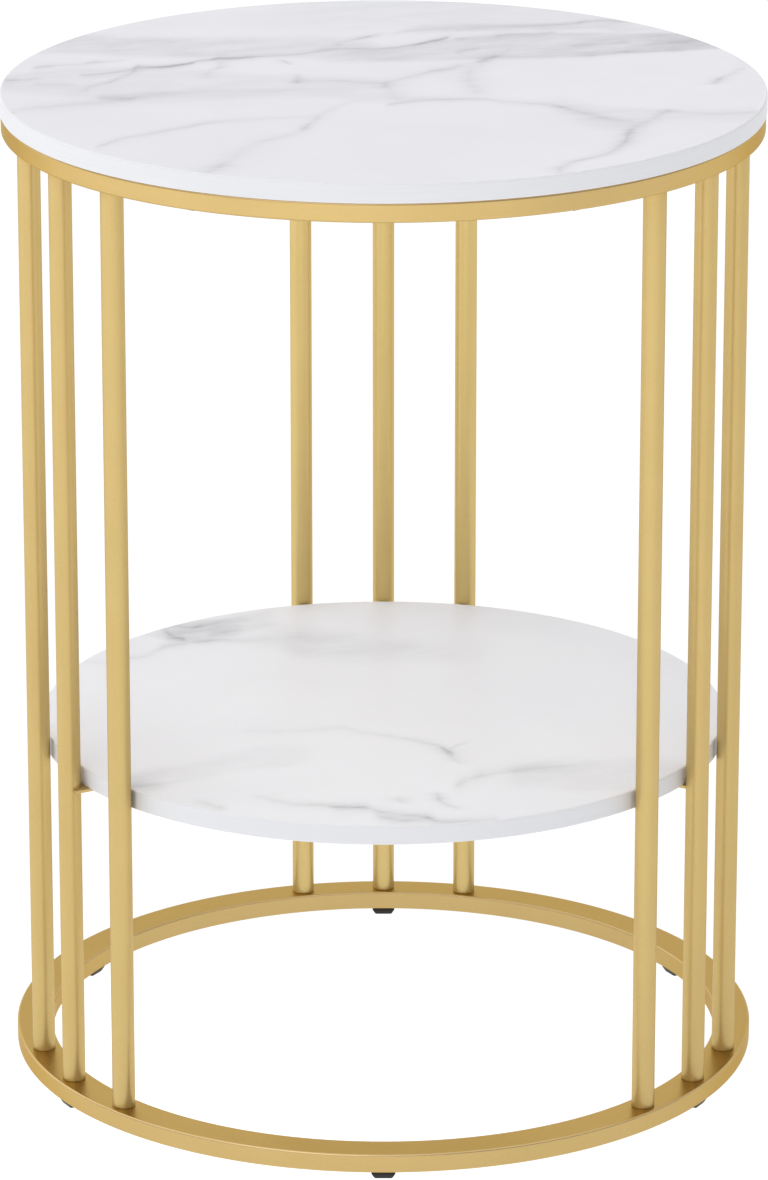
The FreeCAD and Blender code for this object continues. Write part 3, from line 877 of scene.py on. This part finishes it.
# Hexagon outline: half the width across flats over the cosine of the turn from the nearest flat.
def hexOutline(angles):
    sixth = np.mod(angles + pi / 6, pi / 3) - pi / 6
    return capScrewValues["socket"] / np.cos(sixth)


# Rows of a screw standing on its head, as (share of the outline, plain radius, height from the head's bearing
# face, positive along the shank). A row's radius is share * outline + plain radius.
def screwGrid(rows, outline, angles, point, bearing, direction):
    rows = np.asarray(rows, float)
    radius = rows[:, :1] * outline + rows[:, 1:2]
    heights = np.repeat(bearing + direction * rows[:, 2:], len(angles), 1)
    return np.dstack([roundPoints(angles, radius) + point, heights])


# Pan head over a pointed shank. The dome's radius is the head's times the sine of an angle from the axis, and
# it drops by the crown's drop times 1 minus the cosine.
def woodScrewRows(length):
    v = woodScrewValues
    crown, head, shank = -v["headHeight"], v["headRadius"], v["shankRadius"]
    dome = [(0, head * sin(a), crown + v["crownDrop"] * (1 - cos(a)))
            for a in np.radians(np.linspace(v["domeFrom"], 90, v["domeRows"]))]
    recess = [(0, 0, crown + v["recessDepth"] * v["recessPoint"]),
              (v["recessTaper"], 0, crown + v["recessDepth"]), (1, 0, crown + v["mouth"])]
    under = [(0, head, -v["underBreak"]), (0, head - v["underBreak"], 0)]
    return recess + dome + under + [(0, shank, 0), (0, shank, length - v["tipLength"]), (0, 0, length)]


# Cylinder head with a chamfered edge and a hexagon socket, over a shank with a chamfered end.
def capScrewRows(length):
    v = capScrewValues
    face, head, shank, tip = -v["headHeight"], v["headRadius"], v["shankRadius"], v["tipChamfer"]
    floor = face + v["recessDepth"]
    socket = [(0, 0, floor + v["drillPoint"]), (1, 0, floor), (1, 0, face + v["mouth"]),
              (v["mouthShare"], 0, face)]
    sides = [(0, head - v["chamfer"], face), (0, head, face + v["chamfer"]), (0, head, 0)]
    end = [(0, shank, 0), (0, shank, length - tip), (0, shank - tip, length), (0, 0, length)]
    return socket + sides + end


# A node's screws, all alike, one on each point. The direction is 1 with the heads below and -1 with them
# above. The bearing face lies the head's height inside the box, and the length runs to the box's other end.
def addScrews(node, points, direction, values, makeRows, outline, columns):
    low, high = nodeBox(node)[:2]
    headEnd, tipEnd = (low[2], high[2]) if direction > 0 else (high[2], low[2])
    bearing = headEnd + direction * values["headHeight"]
    rows = makeRows(abs(tipEnd - bearing))
    patches = [(screwGrid(rows, outline(columns), columns, point, bearing, direction), 0) for point in points]
    makePiece(node + "_dressed", patches, [zinc], [node])


armCorner = atan2(woodScrewValues["armWidth"], woodScrewValues["armLength"])
armTurns = np.array([armCorner, *woodScrewValues["flankTurns"]])
armColumns = np.concatenate([[-pi / 4], -armTurns[::-1], [0], armTurns])
crossColumns = np.append(np.concatenate([armColumns + quarter * pi / 2 for quarter in range(4)]),
                         fullTurn - pi / 4)
hexColumns = np.linspace(0, fullTurn, capScrewValues["columns"] + 1)
woodScrew = (woodScrewValues, woodScrewRows, crossOutline, crossColumns)
capScrew = (capScrewValues, capScrewRows, hexOutline, hexColumns)

addScrews("board_screws", roundPoints(boardScrewAngles, pitchRadius), 1, *woodScrew)

tabScrews = {"radius": 168.0, "sideOffset": 3.0}  # mm, from the table's axis and along the ring
groupAngles = tubeAngles[1::3]
shelfScrewPoints = (roundPoints(groupAngles, tabScrews["radius"])
                    + roundPoints(groupAngles + pi / 2, tabScrews["sideOffset"]))
addScrews("shelf_screws", shelfScrewPoints, 1, *woodScrew)

for node, direction in (("tube_screws_top", -1), ("tube_screws_base", 1)):
    addScrews(node, tubeCentres[:, :2], direction, *capScrew)


# CAD nodes whose shape is right keep it and take a finish

for node in ["shelf_tab_" + group for group in groupNames]:
    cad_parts[node].data.materials[0] = tubeGold
for node in ("tube_plugs_top", "tube_plugs_base"):
    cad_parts[node].data.materials[0] = zinc
print("pieces ready")


# Studio: a pale floor, a white surround with soft lobes of light, and the camera

studio = {
    "surround": 0.2,
    "lobes": [  # azimuth, elevation and half width in degrees, gain
        (90.0, 14.0, 34.0, 0.82),  # wall behind the table
        (135.0, 12.0, 40.0, 0.60),  # wall behind on the left
        (270.0, 12.0, 40.0, 0.15),  # reflector at the front
        (45.0, 12.0, 40.0, 0.40),  # wall behind on the right, darker
        (90.0, 50.0, 35.0, 0.20),  # soft boxes overhead, brightest on the left
        (150.0, 48.0, 40.0, 1.05),
        (210.0, 48.0, 40.0, 0.75),
        (250.0, 46.0, 34.0, 1.35),  # strip over the camera on the left, which lights the arrises
        (338.0, 58.0, 34.0, 0.80),  # and a smaller one on the right
        (30.0, 48.0, 40.0, 0.45),
    ],
    "floorColour": "404040",  # low, so that the glow hides every shadow
    "floorRoughness": 0.9,
    "floorGlow": 1.0,
    "pools": [  # painted pools of light: azimuth in degrees, start and end of the rise in metres, extra glow
        (225.0, -0.05, 0.3, 0.22),
        (216.0, 1.15, 1.8, 0.36),
        (320.0, 0.0, 0.6, 0.15),
    ],
    "middleGlow": 0.18,  # extra glow under the table, painted light that lifts the shade there
    "middleReach": (0.2, 0.08),  # metres from its middle: none, all of it
    "floorSize": 60.0,  # metres
}
cameraValues = {"place": (0.000315, -3.28563, 1.34088), "pitch": 71.742, "lens": 197.47}


# Surround: a base value plus, for each lobe, its gain times a smooth step of the cosine of the angle from the
# lobe's middle.
def addSurround():
    world = bpy.data.worlds.new("white_surround")
    world.use_nodes = True
    world.node_tree.nodes.clear()
    add = partial(addNode, world.node_tree)
    direction = add("TexCoord", output="Generated")
    light = studio["surround"]
    for azimuth, elevation, width, gain in studio["lobes"]:
        turn, rise = radians(azimuth), radians(elevation)
        towards = (*roundPoints(turn, cos(rise)), sin(rise))
        facing = add("VectorMath DOT_PRODUCT", [direction, towards], output="Value")
        lobe = add("MapRange", {"Value": facing, "From Min": cos(radians(width)),
                                "From Max": 1.0, "To Max": gain}, smoothStep)
        light = add("Math ADD", [light, lobe])
    background = add("Background", {"Color": (1, 1, 1, 1), "Strength": light})
    add("OutputWorld", {"Surface": background})
    bpy.context.scene.world = world


# Floor: it glows though it is no lamp. Its glow is a base value plus, for each painted pool of light, its
# extra glow times a smooth step of the distance along its azimuth, and one more such rise towards the middle,
# which lifts the shade under the table.
def addFloor():
    reach = studio["floorSize"] / 2
    corners = [(x * reach, y * reach, 0) for x, y in ((-1, -1), (1, -1), (1, 1), (-1, 1))]
    mesh = bpy.data.meshes.new("floor")
    mesh.from_pydata(corners, [], [(0, 1, 2, 3)])
    floor = bpy.data.objects.new("floor", mesh)
    bpy.context.scene.collection.objects.link(floor)
    material, add, inMm = startMaterial("glowing_floor_painted_pools")
    rises = []
    for azimuth, start, end, extra in studio["pools"]:
        towards = (*roundPoints(radians(azimuth)), 0)
        ahead = add("VectorMath DOT_PRODUCT", [inMm, towards], output="Value")
        rises.append((ahead, start, end, extra))
    fromMiddle = add("VectorMath LENGTH", [inMm], output="Value")
    rises.append((fromMiddle, *studio["middleReach"], studio["middleGlow"]))
    glow = studio["floorGlow"]
    for distance, start, end, extra in rises:
        pool = add("MapRange", {"Value": distance, "From Min": start / mm, "From Max": end / mm,
                                "To Max": extra}, smoothStep)
        glow = add("Math ADD", [glow, pool])
    shader = add("BsdfPrincipled",
                 {"Base Color": studio["floorColour"], "Roughness": studio["floorRoughness"],
                  "Specular IOR Level": 0.0, "Emission Color": (1, 1, 1, 1), "Emission Strength": glow})
    add("OutputMaterial", {"Surface": shader})
    mesh.materials.append(material)


# Camera: it stands before the table and is turned about X by its pitch, where 90 degrees looks level.
def addCamera():
    data = bpy.data.cameras.new("camera")
    data.lens = cameraValues["lens"]  # on a 36 mm sensor, which spans the render's height
    camera = bpy.data.objects.new("camera", data)
    camera.location = cameraValues["place"]
    camera.rotation_euler = (radians(cameraValues["pitch"]), 0, 0)
    bpy.context.scene.collection.objects.link(camera)
    bpy.context.scene.camera = camera


addSurround()
addFloor()
addCamera()
bpy.context.scene.view_settings.view_transform = "Standard"
print("studio ready")
